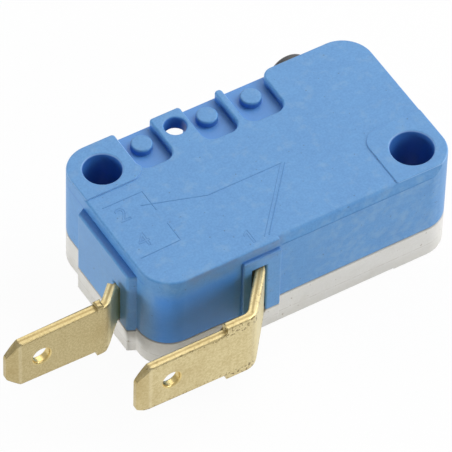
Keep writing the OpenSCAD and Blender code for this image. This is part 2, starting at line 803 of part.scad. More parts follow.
module fixed_contact() {
    placed() color(silver) translate([contact_x, strip_face, z_mid]) rotate([-90, 0, 0])
        rivet(fixed_top - strip_face, strip_t);
}

// Points of the spring's wire: an eye at the arm, the coils and an eye at the lever's bar
coil_r = (coil_d - wire_d) / 2;
coil_from = loop_r + lead_len;
coil_to = spring_len - hook_loop_r - lead_len;
step = 30;
function eye(at, r, first, sweep) = [for (a = [0 : step : sweep])
    [at + r * cos(first + a), r * sin(first + a), 0]];
spring_path = concat(
    eye(0, loop_r, step, 360 - step),
    [for (a = [0 : step : 360 * coil_turns])
        [coil_from + (coil_to - coil_from) * a / (360 * coil_turns), coil_r * cos(a), coil_r * sin(a)]],
    eye(spring_len, hook_loop_r, 180, 360 - step)
);

// A round wire along a line of points
module wire(path, d) {
    sides = 6;
    last = len(path) - 1;
    function way(i) = unit(path[min(last, i + 1)] - path[max(0, i - 1)]);
    function across(w) = unit(cross(w, abs(w[2]) < 0.9 ? [0, 0, 1] : [0, 1, 0]));
    rings = [for (i = [0 : last]) let (w = way(i), u = across(w), v = cross(w, u))
        for (k = [0 : sides - 1]) path[i] + d / 2 * (u * cos(360 * k / sides) + v * sin(360 * k / sides))];
    walls = [for (i = [0 : last - 1]) for (k = [0 : sides - 1]) let (n = (k + 1) % sides)
        [i * sides + k, i * sides + n, (i + 1) * sides + n, (i + 1) * sides + k]];
    ends = [[for (k = [sides - 1 : -1 : 0]) k], [for (k = [0 : sides - 1]) last * sides + k]];
    polyhedron(rings, concat(walls, ends), convexity = 10);
}

module snap_spring() {
    placed() color(steel) translate([loop_a[0], loop_a[1], z_mid]) rotate([0, 0, spring_tilt])
        wire(spring_path, wire_d);
}

// A terminal's outline outside the body, cut through the whole bend from its tab's side
module tab_blank(y, outline) {
    depth = 2 * common_tab_out;
    translate([0, y + depth / 2, z_mid]) rotate([90, 0, 0]) linear_extrude(depth) polygon(outline);
}

// The tab itself, from its lower shoulder round the tip to its upper one
function tab_points(tip_x, root_x, low_run, low_rise) = [
    [root_x, -tab_half],
    [tip_x + low_run, -tab_half],
    [tip_x, low_rise - tab_half],
    [tip_x, tab_half - tab_chamfer],
    [tip_x + tab_chamfer, tab_half],
    [root_x, tab_half]
];

module tab_bore(tip_x, y) {
    translate([tip_x + tab_hole_at, y, z_mid]) rotate([90, 0, 0])
        cylinder(d = tab_hole_d, h = 4 * strip_t, center = true);
}

module common_terminal() {
    common_tab = tab_points(common_tip_x, common_root_x, tab_low_run, tab_low_rise);
    inner_y = common_run_y - bend_r - strip_t;
    placed() color(brass) difference() {
        intersection() {
            prism(z_face, z_top) strip_outline(common_path, [tab_bend_r, tab_bend_r, bend_r, bend_r]);
            union() {
                tab_blank(common_tab_y, concat(common_tab, [
                    [common_root_x, shoulder_half],
                    [common_wide_x, shoulder_half],
                    [common_wide_x, throat_half],
                    [common_x + strip_t, throat_half],
                    [common_x + strip_t, -throat_half],
                    [common_wide_x, -throat_half],
                    [common_wide_x + throat_half - shoulder_half, -shoulder_half],
                    [common_root_x, -shoulder_half]
                ]));
                block([common_x - strip_t, front_face_y, z_mid - throat_half],
                    [common_x + strip_t, inner_y, z_mid + throat_half]);
                block([common_x - strip_t, inner_y, z_mid - tab_half],
                    [upright_x + strip_t, upright_top + strip_t, z_mid + tab_half]);
            }
        }
        tab_bore(common_tip_x, common_tab_y);
        block([upright_x - strip_t, knife_y - 2 * strip_t, z_mid - slot_half],
            [upright_x + strip_t, upright_top + strip_t, z_mid + slot_half]);
        translate([knife_x, knife_y, 0]) cylinder(d = arm_t + 2 * knife_gap, h = z_top);
    }
}

// The upper edge of the open terminal steps down square to its slanted part
module open_neck_cut() {
    translate([open_bend_x, open_y, z_mid + neck_up]) rotate([0, 0, 45])
        block([-neck_len, -strip_t, 0], [neck_len, strip_t, tab_w]);
}

module open_terminal() {
    open_tab = tab_points(open_tip_x, open_root_x, tab_chamfer, tab_chamfer);
    nib_x = open_root_x + nib_len;
    foot_x = open_root_x + foot_len;
    placed() color(brass) difference() {
        intersection() {
            prism(z_face, z_top) strip_outline(open_path, [tab_bend_r, bend_r]);
            union() {
                tab_blank(open_tab_y, concat(open_tab, [
                    [open_root_x, tab_half + nib_h],
                    [nib_x, tab_half + nib_h],
                    [nib_x, tab_half],
                    [end_face_x, tab_half],
                    [end_face_x, neck_up],
                    [left_in, neck_up],
                    [left_in, -tab_half],
                    [foot_x, -tab_half],
                    [foot_x - shoulder_out, -shoulder_half],
                    [open_root_x, -shoulder_half]
                ]));
                block([left_in, open_y - strip_t, z_mid - tab_half],
                    [open_end_x + strip_t, open_y + strip_t, z_mid + tab_half]);
            }
        }
        tab_bore(open_tip_x, open_tab_y);
        open_neck_cut();
        translate([contact_x, open_y, z_mid]) rotate([90, 0, 0])
            cylinder(d = shank_d, h = 2 * strip_t, center = true);
    }
}

case();
cover();
plunger();
operating_lever();
contact_arm();
moving_contact();
snap_spring();
common_terminal();
open_terminal();
fixed_contact();
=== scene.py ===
# %% [markdown]
# # Dressing a micro switch
#
# This lesson takes the finished CAD model of a small snap-action switch and gives it the looks
# of a real one: a sky-blue moulded case on a pale grey cover, two stamped brass tabs, and the
# dark plunger behind. Every piece is already in its place, in metres, so nothing has to be
# fitted: the work is edges, small moulded marks, finishes, light and the camera.

# %% Load the CAD model
import json
import math

import bmesh
import bpy
from mathutils import Matrix, Vector

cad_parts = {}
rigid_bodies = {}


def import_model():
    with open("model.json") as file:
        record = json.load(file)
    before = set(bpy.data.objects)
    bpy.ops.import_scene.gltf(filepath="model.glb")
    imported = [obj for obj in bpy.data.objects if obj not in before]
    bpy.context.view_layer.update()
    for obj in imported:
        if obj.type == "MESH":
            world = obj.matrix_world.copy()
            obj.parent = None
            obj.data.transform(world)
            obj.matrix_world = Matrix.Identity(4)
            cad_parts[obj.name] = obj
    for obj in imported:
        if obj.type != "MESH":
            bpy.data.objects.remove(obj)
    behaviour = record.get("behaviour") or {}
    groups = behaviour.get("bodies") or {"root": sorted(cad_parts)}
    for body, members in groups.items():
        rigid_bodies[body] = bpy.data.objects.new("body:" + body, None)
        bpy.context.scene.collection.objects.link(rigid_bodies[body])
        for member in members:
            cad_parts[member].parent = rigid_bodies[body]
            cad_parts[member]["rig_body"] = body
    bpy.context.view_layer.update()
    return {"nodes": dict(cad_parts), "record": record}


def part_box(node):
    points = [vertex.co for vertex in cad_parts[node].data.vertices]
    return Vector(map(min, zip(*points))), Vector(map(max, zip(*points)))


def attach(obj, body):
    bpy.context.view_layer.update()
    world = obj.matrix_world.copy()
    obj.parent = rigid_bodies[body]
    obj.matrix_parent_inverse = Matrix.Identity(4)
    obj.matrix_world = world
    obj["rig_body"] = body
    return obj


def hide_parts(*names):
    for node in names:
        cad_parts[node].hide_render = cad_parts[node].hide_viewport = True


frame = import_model()
nodes = frame["nodes"]
MM = 0.001
print("CAD nodes:", ", ".join(sorted(nodes)))

# %% [markdown]
# ## Where the holes and tabs are
#
# The CAD record lists the places where the switch is fastened: its mounting holes, the hole for
# an outer lever's pin, the tabs and the holes in them. Some finishes below change near those
# places. The numbers could be written down again, but then they would go wrong when the CAD
# changes, so they are read from the record, in millimetres.

# %% Read the places
mounts = {mount["name"]: mount for mount in frame["record"]["mounts"]}


def mount_place(name):
    return Vector(mounts[name]["pos_m"]) / MM


def mount_radius(name):
    return mounts[name]["dims"]["r_mm"]


print(len(mounts), "places in the record")

# %% [markdown]
# ## The camera
#
# A long lens from far away flattens a small thing, which is how a catalogue photograph is taken.
# The camera could be placed by eye, but here it is worked out from the photograph: how far it is
# turned round the switch, how high it stands, how far it leans, and the point it looks at. The
# lens length follows from the picture's width of 452 pixels on a sensor 36 mm wide.

# %% Place the camera
PICTURE_WIDTH = 452
SENSOR_WIDTH = 36
FOCAL_PIXELS = 5504.8
TURN, HEIGHT, LEAN = (math.radians(angle) for angle in (-32.47, 48.84, 1.77))
LOOK_AT = Vector((5.36, -9.865, 10.02)) * MM
DISTANCE = 427.4 * MM

backward = Vector((
    math.sin(TURN) * math.cos(HEIGHT),
    -math.cos(TURN) * math.cos(HEIGHT),
    math.sin(HEIGHT),
))
level = Vector((math.cos(TURN), math.sin(TURN), 0))
upright = backward.cross(level)
rightward = level * math.cos(LEAN) + upright * math.sin(LEAN)
upward = upright * math.cos(LEAN) - level * math.sin(LEAN)

bpy.ops.object.camera_add(location=LOOK_AT + backward * DISTANCE)
camera = bpy.context.object
camera.name = "catalogue_camera"
camera.rotation_euler = Matrix((rightward, upward, backward)).transposed().to_euler()
camera.data.sensor_width = SENSOR_WIDTH
camera.data.lens = FOCAL_PIXELS * SENSOR_WIDTH / PICTURE_WIDTH
bpy.context.scene.camera = camera
print(f"camera: {camera.data.lens:.0f} mm lens, {DISTANCE / MM:.0f} mm away")

# %% [markdown]
# ## Shader maths as plain Python
#
# Materials in Blender are graphs of nodes. Wiring them by name soon gets long, so one small class
# wraps a socket: adding, subtracting or multiplying wrapped sockets puts a Math node between
# them, and `1 - mask` works too. Every other node comes from one method, which takes the node's
# type, its settings and what goes into its sockets.

# %% The socket wrapper
class Wire:
    """One socket of a material's node tree, ready for sums."""

    def __init__(self, tree, socket=None):
        self.tree = tree
        self.socket = socket

    def node(self, kind, settings, inputs, output=0):
        made = self.tree.nodes.new("ShaderNode" + kind)
        for name, value in settings.items():
            setattr(made, name, value)
        for name, value in inputs.items():
            if isinstance(value, Wire):
                self.tree.links.new(value.socket, made.inputs[name])
            else:
                made.inputs[name].default_value = value
        return Wire(self.tree, made.outputs[output])

    def math(self, operation, first, second):
        return self.node("Math", {"operation": operation}, {0: first, 1: second})

    def __add__(self, other):
        return self.math("ADD", self, other)

    __radd__ = __add__

    def __sub__(self, other):
        return self.math("SUBTRACT", self, other)

    def __rsub__(self, other):
        return self.math("SUBTRACT", other, self)

    def __mul__(self, other):
        return self.math("MULTIPLY", self, other)

    __rmul__ = __mul__


print("socket wrapper ready")

# %% [markdown]
# ## Patterns and masks
#
# Every finish is built from a few habits: a cloud pattern of a known size, a mask that is 1 on one
# side of a place and 0 on the other, and coats of colour laid over each other through such masks.
# Each habit is a short function here. All of them work in millimetres on the piece itself, so a
# scratch stays where it is when the camera moves.

# %% Patterns
def new_material(name):
    """A material, its shader, and the place on the piece in millimetres."""
    material = bpy.data.materials.new(name)
    material.use_nodes = True
    surface = material.node_tree.nodes["Principled BSDF"]
    start = Wire(material.node_tree)
    place = start.node("TexCoord", {}, {}, "Object")
    in_mm = start.node("VectorMath", {"operation": "SCALE"}, {0: place, "Scale": 1 / MM})
    return material, surface, in_mm


def times(place, factors):
    """A place with each coordinate multiplied by its own factor."""
    return place.node("VectorMath", {"operation": "MULTIPLY"}, {0: place, 1: factors})


def noise(place, per_mm, detail=2.0):
    """A soft cloud pattern with about per_mm cells in a millimetre, from 0 to 1."""
    return place.node("TexNoise", {}, {"Vector": place, "Scale": per_mm, "Detail": detail})


def axis(place, letter):
    """One coordinate of a place, in millimetres."""
    return place.node("SeparateXYZ", {}, {0: place}, letter)


def magnitude(value):
    """The value without its sign."""
    return value.node("Math", {"operation": "ABSOLUTE"}, {0: value})


def distance(place, point):
    """How far a place is from a point, in millimetres."""
    return place.node("VectorMath", {"operation": "DISTANCE"}, {0: place, 1: point}, "Value")


print("patterns ready: clouds, coordinates and distances")

# %% Masks
NOISE_SPAN = (0.3, 0.7)
CRISP = 0.02


def between(value, low, high):
    """0 below low, 1 above high and smooth in between."""
    return value.node(
        "MapRange",
        {"interpolation_type": "SMOOTHSTEP"},
        {"Value": value, "From Min": low, "From Max": high},
    )


def spread(pattern):
    """A cloud pattern stretched to use all the shades from 0 to 1."""
    return between(pattern, *NOISE_SPAN)


def past(value, limit, soft=CRISP):
    """0 below the limit and 1 above it, with a step that is soft on both sides."""
    return between(value, limit - soft, limit + soft)


def band(value, low, high, soft):
    """1 from low to high, fading out over soft on both sides."""
    return between(value, low - soft, low) * (1 - between(value, high, high + soft))


print("masks ready: a slope, a step and a band")

# %% Coats of colour and relief
def blend(factor, first, second):
    """A colour that goes from first to second."""
    first, second = (c if isinstance(c, Wire) else (*c, 1) for c in (first, second))
    return factor.node("Mix", {"data_type": "RGBA"}, {0: factor, 6: first, 7: second}, 2)


def coats(body, layers):
    """A colour with layers of (share, colour) over it, one after the other."""
    for share, colour in layers:
        body = blend(share, body, colour)
    return body


def feed(surface, socket, wire):
    wire.tree.links.new(wire.socket, surface.inputs[socket])


def relief(surface, height, strength, depth_mm):
    """Small ups and downs on the surface, depth_mm deep where height goes from 0 to 1."""
    depth = depth_mm * MM
    bump = height.node("Bump", {}, {"Strength": strength, "Distance": depth, "Height": height})
    feed(surface, "Normal", bump)


print("coats of colour and relief ready")

# %% [markdown]
# ## White ground
#
# The photograph has a pure white ground with no shadow to speak of. Flooding the switch with
# light until the floor burns out would wash the blue away, so the floor and the sky turn white
# only for rays that come straight from the camera, from glossy metal or through glass. In gloss
# they are held below white, because a full white sky would lay a grey veil over the blue. The
# floor keeps a little of its own paint even for the camera, which leaves a faint shadow.

# %% Floor
FLOOR_SIZE = 6
FLOOR_WHITE = 0.95
FLOOR_IN_GLOSS = 0.85
FLOOR_PAINT = (0.9, 0.9, 0.9, 1)
WHITE = (1, 1, 1, 1)


def white_when_seen(start, in_gloss):
    """1 for rays that look at the ground, in_gloss for those that mirror it, 0 for lighting."""
    seen = start.node("LightPath", {}, {}, "Is Camera Ray")
    rays = seen.socket.node.outputs
    glossy = Wire(start.tree, rays["Is Glossy Ray"])
    through = Wire(start.tree, rays["Is Transmission Ray"])
    most = seen.math("MAXIMUM", seen, glossy * in_gloss)
    return most.math("MAXIMUM", most, through)


bpy.ops.object.select_all(action="DESELECT")
bpy.ops.mesh.primitive_plane_add(size=FLOOR_SIZE)
floor = bpy.context.object
floor.name = "floor"

floor_paint = bpy.data.materials.new("white_floor")
floor_paint.use_nodes = True
tree = floor_paint.node_tree
tree.nodes.remove(tree.nodes["Principled BSDF"])
start = Wire(tree)
matt = start.node("BsdfDiffuse", {}, {"Color": FLOOR_PAINT})
glow = start.node("Emission", {}, {"Color": WHITE, "Strength": 1.0})
seen = white_when_seen(start, FLOOR_IN_GLOSS) * FLOOR_WHITE
mixed = start.node("MixShader", {}, {0: seen, 1: matt, 2: glow})
tree.links.new(mixed.socket, tree.nodes["Material Output"].inputs["Surface"])
floor.data.materials.append(floor_paint)
print("white floor,", FLOOR_SIZE, "m wide")

# %% Sky
SKY_LEVEL = 0.14
SKY_IN_GLOSS = 0.45

world = bpy.data.worlds.new("studio")
world.use_nodes = True
bpy.context.scene.world = world
tree = world.node_tree
background = tree.nodes["Background"]
background.inputs["Color"].default_value = WHITE
sky = white_when_seen(Wire(tree), SKY_IN_GLOSS) * (1 - SKY_LEVEL) + SKY_LEVEL
tree.links.new(sky.socket, background.inputs["Strength"])
print("sky that gives", SKY_LEVEL, "of its white as light")

# %% [markdown]
# ## Soft boxes
#
# Such a picture is taken on a white table between soft boxes. A large one overhead and behind
# lights the top and the table, and one from the right gives the walls their shape. Two low ones,
# in front and on the left, fill what faces the camera. The low ones are left out of mirrored
# rays, since from behind they would lie as a glare on the top. The sky gives hardly any light, so
# holes and inner corners stay deep blue.

# %% Lamps
SOFT_BOXES = {
    "main_box": {"place_mm": (430, -60, 420), "size_mm": 450, "power": 2.4, "mirrored": True},
    "back_box": {"place_mm": (200, 380, 480), "size_mm": 700, "power": 2.25, "mirrored": True},
    "front_box": {"place_mm": (200, -480, 120), "size_mm": 300, "power": 1.05, "mirrored": False},
    "left_box": {"place_mm": (-500, 100, 60), "size_mm": 160, "power": 1.6, "mirrored": False},
}


def soft_box(name, place_mm, size_mm, power, mirrored):
    """A square lamp that looks at the switch."""
    place = Vector(place_mm) * MM
    bpy.ops.object.light_add(type="AREA", location=place)
    lamp = bpy.context.object
    lamp.name = name
    lamp.rotation_euler = (place - LOOK_AT).to_track_quat("Z", "Y").to_euler()
    lamp.data.size = size_mm * MM
    lamp.data.energy = power
    lamp.visible_glossy = mirrored


for name, facts in SOFT_BOXES.items():
    soft_box(name, **facts)
bpy.context.scene.view_settings.view_transform = "Standard"
print(len(SOFT_BOXES), "soft boxes")

# %% [markdown]
# ## Blue and grey mouldings
#
# The case and the cover are moulded in glass-filled plastic. Seen close, the blue isn't even: the
# melt leaves soft clouds, the mould's fine sparked surface leaves a grain, and handling adds
# pale scuffs and a few dark specks. A single flat colour would look like paint, and a photograph
# of the surface would stick to one view, so each of these is a noise pattern of its own size.

# %% Moulded plastic
CLOUDS_PER_MM = 0.28
MOTTLE_PER_MM = 1.7
GRAIN_PER_MM = 5.5
SCUFFS_PER_MM = 0.9
SPECKS_PER_MM = 3.1
SCUFF_SPAN = (0.50, 0.76)
SPECK_SPAN = (0.75, 0.78)
GRAIN_DEPTH = 0.012


def moulding(name, colour, cloud, scuff, speck):
    """A plastic, its shader, the place on it, and its colour for more coats."""
    material, surface, place = new_material(name)
    clouds = noise(place, CLOUDS_PER_MM, 3)
    mottle = noise(place, MOTTLE_PER_MM, 4)
    grain = noise(place, GRAIN_PER_MM, 2)
    scuffs = between(noise(place, SCUFFS_PER_MM, 5), *SCUFF_SPAN)
    specks = between(noise(place, SPECKS_PER_MM, 1), *SPECK_SPAN)
    uneven = spread(clouds) * 0.2 + spread(mottle) * 0.25 + spread(grain) * 0.55
    body = coats(blend(uneven, colour, cloud), [(scuffs * 0.35, scuff), (specks * 0.6, speck)])
    feed(surface, "Roughness", scuffs * 0.12 + grain * 0.10 + 0.36)
    relief(surface, grain + mottle * 2, 0.35, GRAIN_DEPTH)
    return material, surface, place, body


print("a plastic with clouds, grain, scuffs and specks")

# %% Blue plastic
DARK_SPECK = (0.05, 0.10, 0.20)

case_plastic, case_surface, case_place, case_body = moulding(
    "case_plastic",
    colour=(0.085, 0.262, 0.565),
    cloud=(0.116, 0.328, 0.650),
    scuff=(0.24, 0.40, 0.60),
    speck=DARK_SPECK,
)
# the marks get a darker blue: painted shade along the raised lines, the numbers and the parting
# line
mark_plastic, mark_surface, _, mark_body = moulding(
    "mark_plastic",
    colour=(0.070, 0.235, 0.525),
    cloud=(0.095, 0.285, 0.595),
    scuff=(0.11, 0.27, 0.52),
    speck=DARK_SPECK,
)
feed(mark_surface, "Base Color", mark_body)
print("blue plastic, and a darker one for lines with dirt along them")

# %% [markdown]
# ### Wear, dirt and painted shade on the case
#
# The front wall is rubbed grey between the two terminals, most of all under the upper edge, and
# that grey is also painted shade where the terminals shade the wall. The corner below is painted
# a more saturated blue, as painted shade of the terminals. Farther right the wall is scraped pale
# in patches, which also stand for a painted sheen, and the raised face on the left end gets a grey
# that is partly dust and partly painted sheen. The inner corners over the two raised faces get a
# line of painted shade. All this could be painted by hand on an unwrapped picture, but each mark
# keeps to one part of the case, so its place picks it out: millimetres from mounting hole A along
# the body, across it and up.

# %% The front wall and the left end
FRONT_EDGE = (-12.6, -11.4)
CASE_RIM = (9.92, 10.0)
WORN_AND_SHADED_ALONG = (0.6, 7.8)
WORN_AND_SHADED_RISE = (8.2, 9.6)
WORN_AND_SHADED_PER_MM = 0.9
CORNER_SHADE_ALONG = (-2.75, 4.0)
CORNER_SHADE_TOP = (7.6, 9.2)
SCRAPED_AND_SHEEN_ALONG = (14.0, 25.0)
SCRAPED_AND_SHEEN_SPAN = (0.42, 0.72)
SCRAPED_AND_SHEEN_PER_MM = 1.5
FRONT_WALL = -13.1
END_FACE = -3.48

along, across, height = (axis(case_place, letter) for letter in "XYZ")
at_front = 1 - between(across, *FRONT_EDGE)
# grey wear under the upper edge, and painted shade of the terminals on the wall below it
worn_and_shaded = band(along, *WORN_AND_SHADED_ALONG, 1.4) * at_front * (1 - between(height, *CASE_RIM))
worn_and_shaded = worn_and_shaded * (between(height, *WORN_AND_SHADED_RISE) * 0.9 + 0.1)
worn_and_shaded = worn_and_shaded * (spread(noise(case_place, WORN_AND_SHADED_PER_MM, 4)) * 0.6 + 0.4)
# painted shade: the corner between the terminals gets a more saturated blue, the colour of their
# shade
corner_shade = band(along, *CORNER_SHADE_ALONG, 1.0) * at_front * (1 - between(height, *CORNER_SHADE_TOP))
# pale scraped patches on the right of the front wall, which also lighten it as a painted sheen
patches = between(noise(case_place, SCRAPED_AND_SHEEN_PER_MM, 5), *SCRAPED_AND_SHEEN_SPAN)
scraped_and_sheen = patches * band(along, *SCRAPED_AND_SHEEN_ALONG, 4.0) * (1 - past(across, FRONT_WALL + 0.15, 0.05))
# a grey on the left end that is partly dust and partly painted sheen
dust_and_sheen = 1 - past(along, END_FACE)
print("wear on the front wall and dust on the end")

# %% Painted shade over the raised faces
END_LEDGE = 8.92
FRONT_LEDGE = 9.07
FRONT_LEDGE_ENDS = (4.9, 8.3)
END_WALL = -2.8
SHADE_HEIGHT = 0.1


def shade_over(ledge):
    """A thin line of painted shade on the wall that stands on a ledge of the case."""
    return band(axis(case_place, "Z"), ledge, ledge + SHADE_HEIGHT, 0.06)


# painted shade: a deep blue line in the inner corner over each raised face
shade_over_end = shade_over(END_LEDGE) * (1 - past(along, END_WALL + 0.075, 0.025))
shade_over_front = shade_over(FRONT_LEDGE) * band(along, *FRONT_LEDGE_ENDS, 0.1)
shade_over_front = shade_over_front * (1 - past(across, FRONT_WALL + 0.05, 0.05))
print("dirt over two ledges")

# %% [markdown]
# ### Seats, bores and pads
#
# The walls of the three seats and the bores get a deep blue of painted shade. The floors of the
# seats get painted light, a paler blue, for the little light that reaches them. The pads round
# the mounting holes stand only a tenth of a millimetre proud, and their steps get painted light,
# a paler blue: left as dark as the rest, they would read as lines.

# %% Painted shade in seats and bores, painted light on seat floors and pad steps
SEATS_ALONG = (2.3, 16.5)
SEATS_ACROSS = (-2.0, 2.8)
SEAT_FLOOR = 9.12
SEAT_WALL = (9.18, 9.50)
PAD_STEP = (10.03, 10.11)
BORE_SKIN = 0.025
BORES = ("mounting_hole_a", "mounting_hole_b", "lever_pin_upper")

flat_place = times(case_place, (1, 1, 0))
in_seats = band(along, *SEATS_ALONG, 0.05) * band(across, *SEATS_ACROSS, 0.05)
# painted light: the seat floors get a paler blue against the shade of the seat walls
lit_floors = band(height, SEAT_FLOOR - CRISP, SEAT_FLOOR + CRISP, CRISP) * in_seats
# painted shade: a deep blue on the walls of the seats, and below in the bores
deep = band(height, *SEAT_WALL, 0.1) * in_seats
for name in BORES:
    middle = mount_place(name)
    radius = mount_radius(name) + BORE_SKIN
    bore = 1 - between(distance(flat_place, (middle.x, middle.y, 0)), radius, radius + 0.06)
    deep = deep.math("MAXIMUM", deep, bore)
# painted light: the pad steps get a paler blue, so that their shaded sides don't read as lines
lit_pad_steps = band(height, *PAD_STEP, 0.01)
print("deep blue in the seats and", len(BORES), "bores")

# %% [markdown]
# ### The coats in their order
#
# Each coat hides part of those under it, as on the real case, so the order counts. The painted
# light and painted shade in the seats, the bores, on the pad steps and in the corner between the
# terminals come first, then the grey of dust and painted sheen, the pale scrapes that also paint a
# sheen and the grey of wear and painted shade, and last the painted shade over the raised faces.

# %% Lay the coats on the case
# colours of painted light and painted shade, then of dust, scrapes and wear that also carry sheen
# and shade
FLOOR_LIGHT_BLUE = (0.12, 0.37, 0.80)
DEEP_SHADE_BLUE = (0.035, 0.16, 0.53)
CORNER_SHADE_BLUE = (0.02, 0.25, 0.84)
STEP_LIGHT_BLUE = (0.35, 0.55, 0.85)
DUST_AND_SHEEN_GREY = (0.45, 0.48, 0.52)
SCRAPED_PALE_AND_SHEEN = (0.28, 0.44, 0.62)
WEAR_AND_SHADE_GREY = (0.15, 0.18, 0.26)
LEDGE_SHADE_BLUE = (0.02, 0.16, 0.55)

case_coats = [
    (lit_floors * 0.5, FLOOR_LIGHT_BLUE),
    (deep * 0.75, DEEP_SHADE_BLUE),
    (corner_shade * 0.6, CORNER_SHADE_BLUE),
    (lit_pad_steps * 0.5, STEP_LIGHT_BLUE),
    (dust_and_sheen * 0.12, DUST_AND_SHEEN_GREY),
    (scraped_and_sheen * 0.28, SCRAPED_PALE_AND_SHEEN),
    (worn_and_shaded * 0.45, WEAR_AND_SHADE_GREY),
    ((shade_over_end + shade_over_front) * 0.4, LEDGE_SHADE_BLUE),
]
feed(case_surface, "Base Color", coats(case_body, case_coats))
print(len(case_coats), "coats of wear and dirt on the case")

# %% [markdown]
# ### Dirt and painted shade on the grey cover
#
# Where the two halves meet, a dark line stands for the joint and for the shadow that the case's
# overhang casts there, so it is partly painted shadow. Dust and skin oil gather along the mould's
# parting line, low on the cover. Both are bands at a known height, so the height above the floor
# picks them out, and noise breaks up the lower one. Below the parting line the cover is painted
# darker towards the bottom, as painted shade. The seam lies lower where the case laps over the
# cover at the front left corner, and lower again on the two raised faces.

# %% Grey plastic
SEAM = 3.12
LAP = 0.3
LAP_CORNER = (8.4, -1.8)
RAISED_FACES = (-2.84, -13.14)
PARTING_LINE = 1.25
BREAKS_PER_MM = 1.3
SEAM_DARK_AND_SHADOW = (0.16, 0.13, 0.10)
LINE_DIRT = (0.36, 0.31, 0.24)
FOOT_SHADE = (0.45, 0.42, 0.36)

cover_plastic, cover_surface, cover_place, cover_body = moulding(
    "cover_plastic",
    colour=(0.710, 0.697, 0.658),
    cloud=(0.760, 0.750, 0.716),
    scuff=(0.65, 0.63, 0.58),
    speck=(0.34, 0.28, 0.21),
)
along, across, height = (axis(cover_place, letter) for letter in "XYZ")
lapped = (1 - past(along, LAP_CORNER[0])) * (1 - past(across, LAP_CORNER[1]))
raised = 1 - past(along, RAISED_FACES[0]) * past(across, RAISED_FACES[1])
below_seam = SEAM - (lapped + raised) * LAP - height
# a dark line at the seam: the joint itself, and painted shadow of the case's overhang
seam_line_and_shadow = 1 - between(below_seam, 0.04, 0.16)
broken = between(noise(cover_place, BREAKS_PER_MM, 4), 0.35, 0.6)
at_line = band(height, PARTING_LINE - CRISP, PARTING_LINE + CRISP, 0.05)
# painted shade: the cover gets darker towards the bottom, below the parting line
shaded_foot = 1 - between(height, PARTING_LINE - 0.4, PARTING_LINE)
cover_coats = [
    (seam_line_and_shadow * 0.3, SEAM_DARK_AND_SHADOW),
    (at_line * broken * 0.3, LINE_DIRT),
    (shaded_foot * 0.12, FOOT_SHADE),
]
feed(cover_surface, "Base Color", coats(cover_body, cover_coats))
print("grey plastic with", len(cover_coats), "coats of dirt")

# %% [markdown]
# ## Stamped brass
#
# The tabs are stamped from rolled brass strip and then bent. Rolling leaves fine streaks, the
# annealed surface is slightly grainy, and old handling has tarnished it in patches, with dark
# specks along the stamped edges. A die cuts only part of the way and tears the rest, so a duller,
# rougher line runs along the middle of each cut edge. The cut edges are painted darker as painted
# shade for the dark surroundings they mirror, the line in their middle and the edges that look down
# more so. To draw that line, the pattern needs the distance from the strip's middle, round the bend
# too: that is the smaller of the distances from its two straight runs. Cut edges are told from flat
# faces by which way they look, and the hole's wall, which gets a painted highlight, is kept out by
# its distance from the hole's axis.

# %% Edges of the strip
STRIP_MIDDLE = mount_place("common_tab").z
HOLE_SKIN = (0.05, 0.20)


def from_strip_middle(place, corner, turn):
    """Distance from the middle of a strip that turns left at a corner."""
    x = axis(place, "X") - corner.x
    y = axis(place, "Y") - corner.y
    return y.math("MINIMUM", y, y * math.cos(turn) - x * math.sin(turn))


def outside_hole(place, tab):
    """0 on the wall of the tab's hole and 1 away from it."""
    hole = mount_place(tab + "_hole")
    radius = mount_radius(tab + "_hole")
    from_hole = distance(times(place, (1, 0, 1)), (hole.x, 0, hole.z))
    return between(from_hole, radius + HOLE_SKIN[0], radius + HOLE_SKIN[1])


def cut_edges(place, outside, corner, turn):
    """Masks for painted shade: all cut edges, those that look down, and the duller tear line on
    them.
    """
    facing = axis(place.node("TexCoord", {}, {}, "Normal"), "Z")
    on_edge = between(magnitude(facing), 0.6, 0.9) * outside
    under = between(-1 * facing, 0.25, 0.6) * outside
    torn_and_shaded = band(from_strip_middle(place, corner, turn), -0.02, 0.04, 0.12) * on_edge
    return on_edge, under, torn_and_shaded


print(f"middle of the strips at {STRIP_MIDDLE:.2f} mm")

# %% [markdown]
# ### Colour of the brass
#
# Metal shows mostly what it mirrors, so its colour stays simple, and the roughness and the fine
# relief do the work. The tip is made thinner by the press for a lead-in; that face is painted a
# little darker, as painted shade, with a painted highlight along the line where the press stopped.
# The outside of the bend gets a painted highlight in a paler yellow, and more roughness. The
# common tab is cleaner brass with more dirt along its edges than the open one, so each tab gets a
# finish of its own.

# %% Patterns on the brass
STREAKS_PER_MM = 2.4
BRASS_GRAIN_PER_MM = 6
TARNISH_PER_MM = 0.5
STAINS_PER_MM = 4.2
ROLLED = (1, 1, 0.12)
TAB_HALF = 2.4
LEAD_IN = 1.1


def brass_patterns(place):
    """Streaks of rolling, grain of annealing and patches of tarnish."""
    streaks = noise(times(place, ROLLED), STREAKS_PER_MM, 3)
    grain = noise(place, BRASS_GRAIN_PER_MM, 3)
    tarnish = between(noise(place, TARNISH_PER_MM, 4), 0.42, 0.75)
    return streaks, grain, tarnish


def edge_stains(place):
    """Dark specks along the long edges of a tab."""
    from_middle = magnitude(axis(place, "Z") - STRIP_MIDDLE)
    near_edge = between(from_middle, TAB_HALF - 0.40, TAB_HALF - 0.15)
    return between(noise(place, STAINS_PER_MM, 4), 0.57, 0.62) * near_edge


def lead_in_and_bend_light(place, tip, bend):
    """Masks of the lead-in for painted shade, and of where the press stopped and the bend for
    painted highlights.
    """
    along = axis(place, "X")
    press_end = tip + LEAD_IN
    shaded_lead_in = 1 - past(along, press_end, 0.05)
    rim_highlight = band(along, press_end, press_end + 0.15, 0.15)
    bent_highlit = between(along, bend, bend + 0.4)
    return shaded_lead_in, rim_highlight, bent_highlit


print("streaks, grain, tarnish, stains and tool marks ready")

